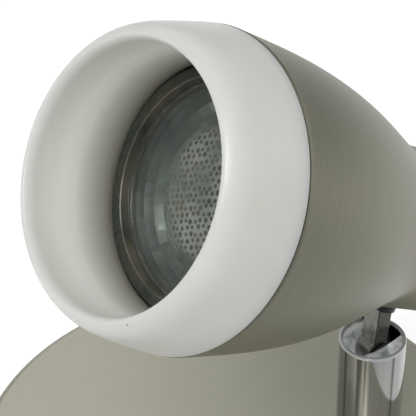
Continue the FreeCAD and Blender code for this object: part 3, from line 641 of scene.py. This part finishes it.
def make_shell():
    """Bell and neck of spun sheet, with a softened lip at the seam."""
    outer = bell_line(0.0)
    inner = bell_line(SHEET)
    lip = 0.3
    outline = [(SEAM_RADIUS - SHEET, SEAM_STATION + lip), (SEAM_RADIUS - SHEET + lip, SEAM_STATION),
               (SEAM_RADIUS - lip, SEAM_STATION)]
    outline += [(SEAM_RADIUS, SEAM_STATION + lip)] + outer[1:]
    chamfer = 0.25
    outline += [(NECK_RADIUS, NECK_END - chamfer), (NECK_RADIUS - chamfer, NECK_END)]
    outline += [(NECK_RADIUS - SHEET, NECK_END)] + inner[:0:-1]
    shell = lathe("shell_skin", outline, HEAD, 256)
    install(shell, "head", "brushed_nickel", "head_shell")


def make_cap():
    """Shallow domed cap, with a skirt that fits inside the neck."""
    skirt_end = NECK_END - 2.4
    dome = smooth_line([(0, 2.8), (6.0, 2.66), (12.0, 2.22), (15.94, 1.7), (17.3, 1.0),
                        (NECK_RADIUS, 0.0)], 8)
    outline = [(radius, NECK_END + height) for radius, height in dome]
    outline += [(NECK_RADIUS - SHEET, NECK_END), (NECK_RADIUS - SHEET, skirt_end),
                (NECK_RADIUS - 2 * SHEET, skirt_end), (NECK_RADIUS - 2 * SHEET, NECK_END),
                (0, NECK_END + 1.4)]
    cap = lathe("rear_cap_skin", outline, HEAD, 192)
    install(cap, "head", "brushed_nickel", "rear_cap")


def make_ring():
    """Opal ring: bore, rounded lip, swelling outside and a spigot inside the shell."""
    lip = smooth_line([(RING_BORE, 2.2), (25.45, 0.2), (26.1, -0.75), (27.2, -0.25), (28.8, 2.0),
                       (29.75, 5.5), (30.85, 11.5), (SEAM_RADIUS - 0.10, SEAM_STATION - 0.6)], 10)
    shoulder = SEAM_STATION - 0.25
    outline = lip + [(SEAM_RADIUS - 0.55, shoulder), (30.2, shoulder),
                     (30.0, 22.3), (29.7, 22.6), (25.8, 22.6), (25.5, 22.3)]
    ring = lathe("opal_ring_body", outline, HEAD, 256)
    install(ring, "head", "opal", "opal_ring")


def make_washer():
    """Black washer, flat towards the tongue and curved to the neck on its other side."""
    outer = 3.5
    bore = 1.3
    chamfer = 0.35
    neck = NECK_RADIUS - 0.1
    steps = 64
    bm = bmesh.new()
    rings = []
    profile = [(bore, WASHER_END), (outer - chamfer, WASHER_END), (outer, WASHER_END - chamfer),
               (outer, None), (bore, None)]      # None: on the neck
    for radius, end in profile:
        ring = []
        for i in range(steps):
            angle = math.tau * i / steps
            y = radius * math.sin(angle)
            z = TONGUE_STATION + radius * math.cos(angle)
            x = math.sqrt(neck ** 2 - y * y) if end is None else end
            ring.append(bm.verts.new((x * MM, y * MM, z * MM)))
        rings.append(ring)
    for low, high in zip(rings, rings[1:] + rings[:1]):
        bridge(bm, low, high)
    washer = finish_mesh(bm, "neck_washer_body", HEAD)
    install(washer, "head", "black_plastic", "neck_washer")


def make_tongue():
    """Square bar from a round eye up to the washer, cut from one plate and softened at its edges."""
    half_depth = 2.1
    eye = 3.4
    steps = 28
    top = WASHER_END + 0.02
    lean = math.radians(TONGUE_LEAN)
    pivot = Vector((PIVOT_DROP, PIVOT_STATION))
    up = Vector((-math.cos(lean), -math.sin(lean)))
    rearward = Vector((-math.sin(lean), math.cos(lean)))
    outline = []
    for side in (1, -1):
        edge = pivot + rearward * half_depth * side
        outline.append(edge + up * ((top - edge.x) / up.x))
    join = math.asin(half_depth / eye)
    for step in range(steps + 1):
        angle = -join - (math.tau - 2 * join) * step / steps
        outline.append(pivot + (up * math.cos(angle) + rearward * math.sin(angle)) * eye)
    bm = bmesh.new()
    sides = []
    for y in (-TONGUE_HALF_WIDTH, TONGUE_HALF_WIDTH):
        sides.append([bm.verts.new((q * MM, y * MM, s * MM)) for q, s in outline])
    bm.faces.new(sides[0])
    bm.faces.new(sides[1][::-1])
    bridge(bm, *sides)
    tongue = finish_mesh(bm, "tongue_bar", HEAD)
    bevel = tongue.modifiers.new("soft_edges", "BEVEL")
    bevel.width = 0.4 * MM
    bevel.segments = 3
    bevel.limit_method = "ANGLE"
    install(tongue, "head", "chrome", "tilt_tongue", "tongue_chrome")


def tube_along(name, points, radius, sides=20, steps=10):
    """Round tube of one radius along a smooth line through the points, closed at both ends."""
    line = smooth_path(points, steps)
    bm = bmesh.new()
    rings = []
    normal = Vector((0, 1, 0))
    for i, place in enumerate(line):
        ahead = line[min(i + 1, len(line) - 1)] - line[max(i - 1, 0)]
        ahead.normalize()
        normal = (normal - ahead * normal.dot(ahead)).normalized()
        across = ahead.cross(normal)
        ring = []
        for k in range(sides):
            turn = math.tau * k / sides
            spoke = normal * math.cos(turn) + across * math.sin(turn)
            ring.append(bm.verts.new(place + spoke * radius))
        rings.append(ring)
    for low, high in zip(rings, rings[1:]):
        bridge(bm, low, high)
    bm.faces.new(rings[0][::-1])
    bm.faces.new(rings[-1])
    return finish_mesh(bm, name, WHOLE, 60)


def smooth_path(points, steps):
    """Catmull-Rom line through the points."""
    line = []
    ends = [points[0] * 2 - points[1]] + list(points) + [points[-1] * 2 - points[-2]]
    for before, start, end, after in zip(ends, ends[1:], ends[2:], ends[3:]):
        for step in range(steps):
            t = step / steps
            line.append(0.5 * (2 * start + (end - before) * t
                               + (2 * before - 5 * start + 4 * end - after) * t * t
                               + (3 * start - before - 3 * end + after) * t ** 3))
    line.append(points[-1].copy())
    return line


def make_lead():
    """Sleeved lead from the neck beside the tongue into the rear of the post's slot."""
    bends = [(7.0, 0, LEAD_STATION), (14.0, 0, LEAD_STATION), (20.0, 0, LEAD_STATION),
             (22.6, -0.3, LEAD_STATION + 0.2)]
    beside = HEAD @ Matrix.Rotation(math.radians(LEAD_TURN), 4, "Z")
    points = [beside @ Vector((q * MM, y * MM, s * MM)) for q, y, s in bends]
    points += [PIVOT + Vector(offset) * MM
               for offset in ((0.6, 5.9, 7.2), (2.9, 4.3, 4.3), (4.9, 1.8, 1.6), (5.0, 0.6, -3.0))]
    lead = tube_along("lead_sleeve", points, LEAD_RADIUS * MM)
    lead.data.materials.append(MATERIALS["black_sleeve"])
    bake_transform(lead)
    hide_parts("head_lead")


# ---------------------------------------------------------------- lamp

def make_lamp_body():
    """Pressed glass body: flat dark rim, recess for the front glass, bowl narrowing to the base."""
    corner = 0.35
    outer = smooth_line([(LAMP_RADIUS - 0.4, 25.8), (23.2, 32.0), (19.8, 40.0), (15.8, 48.0),
                         (13.6, 53.5)], 8)
    inner = smooth_line([(12.2, 53.5), (13.8, 48.0), (17.4, 40.0), (20.6, 32.0),
                         (GLASS_RADIUS - 0.8, 26.4)], 8)
    outline = [(GLASS_RADIUS + 0.15, LAMP_STATION + 0.15), (GLASS_RADIUS + corner, LAMP_STATION),
               (LAMP_RADIUS - corner, LAMP_STATION), (LAMP_RADIUS, LAMP_STATION + corner),
               (LAMP_RADIUS, 24.8)]
    outline += outer + inner
    outline += [(GLASS_RADIUS - 0.8, GLASS_END), (GLASS_RADIUS, GLASS_END)]
    body = lathe("lamp_body", outline, HEAD, 192)
    install(body, "lamp", "lamp_glass", "lamp_bowl")


def make_front_glass():
    """Flat clear disc in the lamp's recess."""
    radius = GLASS_RADIUS - 0.05
    rounding = 0.25
    outline = rounded([(0, GLASS_START, 0), (radius, GLASS_START, rounding),
                       (radius, GLASS_END, rounding), (0, GLASS_END, 0)], 4)
    glass = lathe("front_glass", outline, HEAD, 192)
    install(glass, "lamp", "clear_glass", "lamp_front_glass")


def make_reflector():
    """Cup round the lens: four rows of bulging facets, then a smooth wall down to the lens."""
    sectors = 44
    cells = 4
    bulge = 0.20
    facet_rows = [(20.9, 25.3), (20.3, 27.3), (19.0, 29.2), (17.1, 30.1), (15.3, 29.3)]
    trough = smooth_line([(15.3, 29.3), (14.6, 28.2), (LENS_RADIUS, 26.6)], 5)
    bm = bmesh.new()
    layer = bm.verts.layers.float.new("clear")

    def place(radius, turn, station, clear=0.0):
        vert = bm.verts.new(on_circle(radius, turn, station))
        vert[layer] = clear
        return vert

    for row, (low, high) in enumerate(zip(facet_rows, facet_rows[1:])):
        normal = Vector((low[1] - high[1], high[0] - low[0])).normalized()
        for sector in range(sectors):
            away = math.tau * sector / sectors - math.radians(PAINTED_GLINT_TURN)
            uneven = 0.5 + 0.5 * math.sin(5.1 * sector + 3.3 * row)
            # the cosine term paints glints: facets towards PAINTED_GLINT_TURN and its opposite are made clearest
            clear = (0.5 + 0.5 * math.cos(2.0 * away)) * uneven
            grid = []
            for i in range(cells + 1):
                u = i / cells
                line = []
                for j in range(cells + 1):
                    v = j / cells
                    turn = math.tau * (sector + v + 0.5 * row) / sectors
                    lift = bulge * 16 * u * (1 - u) * v * (1 - v)
                    radius = low[0] + (high[0] - low[0]) * u + normal.x * lift
                    station = low[1] + (high[1] - low[1]) * u + normal.y * lift
                    line.append(place(radius, turn, station, clear))
                grid.append(line)
            for i in range(cells):
                for j in range(cells):
                    bm.faces.new((grid[i][j], grid[i][j + 1], grid[i + 1][j + 1], grid[i + 1][j]))
    segments = cells * sectors
    rings = [[place(radius, math.tau * k / segments, station) for k in range(segments)]
             for radius, station in trough]
    for low, high in zip(rings, rings[1:]):
        bridge(bm, low, high)
    cup = finish_mesh(bm, "reflector_cup", HEAD, 180)
    install(cup, "lamp", "reflector", "lamp_reflector")


def make_lens():
    """Round lens: a shallow dome of uneven dimples in staggered rows, tapering to the rear."""
    top = 25.0
    dome = 1.3
    dimple = 0.32
    rear = 37.0
    taper = 0.6
    pitch = 1.45
    unevenness = 0.13 * pitch
    height = math.sqrt(3) / 2 * pitch
    plain_border = 0.5
    step = 0.2
    half = int(LENS_RADIUS / step)
    bm = bmesh.new()
    layer = bm.verts.layers.float.new("dimple")
    grid = {}
    for i in range(-half - 1, half + 2):
        for j in range(-half - 1, half + 2):
            x, y = i * step, j * step
            radius = math.hypot(x, y)
            if radius > LENS_RADIUS + step:
                continue
            if radius > LENS_RADIUS:
                x, y = x * LENS_RADIUS / radius, y * LENS_RADIUS / radius
                radius = LENS_RADIUS
            row = round(y / height)
            offset = 0.5 * pitch * (row % 2)
            column = round((x - offset) / pitch)
            drift_x = unevenness * math.sin(2.3 * column + 4.1 * row)
            drift_y = unevenness * math.sin(3.7 * column + 1.9 * row)
            size = pitch * (0.38 + 0.07 * math.sin(1.7 * column + 2.9 * row))
            away = math.hypot(x - offset - column * pitch - drift_x, y - row * height - drift_y) / size
            depth = max(0.0, 1 - away * away)
            if radius > LENS_RADIUS - plain_border:
                depth = 0.0
            station = top + dome * (radius / LENS_RADIUS) ** 2 + dimple * depth
            vert = bm.verts.new((x * MM, y * MM, station * MM))
            vert[layer] = depth
            grid[i, j] = vert
    for i, j in list(grid):
        corners = [(i, j), (i + 1, j), (i + 1, j + 1), (i, j + 1)]
        if all(corner in grid for corner in corners):
            bm.faces.new([grid[corner] for corner in corners])
    loose = [vert for vert in bm.verts if not vert.link_faces]
    bmesh.ops.delete(bm, geom=loose, context="VERTS")
    border = [edge for edge in bm.edges if edge.is_boundary]
    made = bmesh.ops.extrude_edge_only(bm, edges=border)
    for vert in [item for item in made["geom"] if isinstance(item, bmesh.types.BMVert)]:
        vert.co.x *= taper
        vert.co.y *= taper
        vert.co.z = rear * MM
        vert[layer] = 0.0
    optic = finish_mesh(bm, "lens_optic", HEAD, 60)
    install(optic, "lamp", "lens", "lamp_lens")


make_canopy()
make_post()
make_shell()
make_cap()
make_ring()
make_washer()
make_tongue()
make_lead()
make_lamp_body()
make_front_glass()
make_reflector()
make_lens()

# ---------------------------------------------------------------- floor, light and camera

FLOOR_TURN = -53.7           # turns the way in which the floor grows brighter onto X, degrees
FLOOR_GLOW = 0.70
FLOOR_RISE = (-0.12, 0.06)   # where along that way the glow starts and is full, metres


def floor_material():
    """Pale studio floor that brightens from the front towards the back."""
    make = Recipe("floor_material", Roughness=0.9, Emission_Color=(1.0, 1.0, 1.0, 1.0))
    pale = make.noise(make.coords, 3.0)
    make.colour(make.ramp(pale, [(0.3, (0.70, 0.70, 0.70)), (0.7, (0.74, 0.74, 0.74))]))
    backward = make.axes(make.scaled((1.0, 1.0, 1.0), math.radians(FLOOR_TURN)))[0]
    glow = make.span(backward, 0.0, FLOOR_GLOW, *FLOOR_RISE)
    make.link(glow, make.shader.inputs["Emission Strength"])
    return make.material


def make_floor():
    """Floor just below the canopy's foot, so that the two don't share a plane."""
    gap = 0.0005
    bm = bmesh.new()
    bmesh.ops.create_grid(bm, x_segments=8, y_segments=8, size=3.0)
    floor = finish_mesh(bm, "studio_floor", Matrix.Translation((0, 0, -gap)))
    floor.data.materials.append(floor_material())


def make_world():
    """Grey surroundings, darker overhead."""
    world = bpy.data.worlds.new("studio")
    bpy.context.scene.world = world
    world.use_nodes = True
    tree = world.node_tree
    background = tree.nodes["Background"]
    coords = tree.nodes.new("ShaderNodeTexCoord")
    split = tree.nodes.new("ShaderNodeSeparateXYZ")
    ramp = tree.nodes.new("ShaderNodeValToRGB")
    level, overhead = ramp.color_ramp.elements
    level.position = 0.0
    level.color = (0.42, 0.42, 0.41, 1)
    overhead.position = 0.8
    overhead.color = (0.22, 0.22, 0.22, 1)
    tree.links.new(coords.outputs["Generated"], split.inputs[0])
    tree.links.new(split.outputs[2], ramp.inputs["Fac"])
    tree.links.new(ramp.outputs["Color"], background.inputs["Color"])


def direction(azimuth, elevation):
    """Unit vector with these angles in degrees: about Z from +X, and up from the floor."""
    a, e = math.radians(azimuth), math.radians(elevation)
    return Vector((math.cos(a) * math.cos(e), math.sin(a) * math.cos(e), math.sin(e)))


def make_light(name, azimuth, elevation, distance, size, power):
    """Soft round light that faces the head's opening from a direction. Metres, degrees, watts."""
    data = bpy.data.lights.new(name, "AREA")
    data.shape = "DISK"
    data.size = size
    data.energy = power
    light = bpy.data.objects.new(name, data)
    bpy.context.scene.collection.objects.link(light)
    way = direction(azimuth, elevation)
    light.location = OPENING + way * distance
    light.rotation_mode = "QUATERNION"
    light.rotation_quaternion = way.to_track_quat("Z", "Y")


CAMERA_TARGET = Vector((-0.02361, -0.02400, 0.12040))
CAMERA_DISTANCE = 0.3
CAMERA_AZIMUTH = -126.35     # direction from the target to the camera
CAMERA_ELEVATION = 36.21
CAMERA_ROLL = -1.0
FOCAL_WIDTHS = 1600.0 / 416.0      # the focal length over the picture's width


def make_camera():
    """Camera with a long lens, close to the head."""
    data = bpy.data.cameras.new("camera")
    data.sensor_width = 36.0
    data.lens = data.sensor_width * FOCAL_WIDTHS
    data.clip_start = 0.01
    camera = bpy.data.objects.new("camera", data)
    bpy.context.scene.collection.objects.link(camera)
    back = direction(CAMERA_AZIMUTH, CAMERA_ELEVATION)
    camera.location = CAMERA_TARGET + back * CAMERA_DISTANCE
    level = (-back).to_track_quat("-Z", "Y").to_matrix().to_4x4()
    roll = Matrix.Rotation(math.radians(CAMERA_ROLL), 4, "Z")
    camera.matrix_world = Matrix.Translation(camera.location) @ level @ roll
    bpy.context.scene.camera = camera


make_floor()
make_world()
make_light("key_light", -150, 52, 1.2, 0.6, 7.2)
make_light("far_light", 65, 42, 1.4, 0.8, 0.6)
make_light("top_light", -60, 75, 1.3, 0.8, 0.9)
make_camera()
bpy.context.scene.view_settings.view_transform = "Standard"
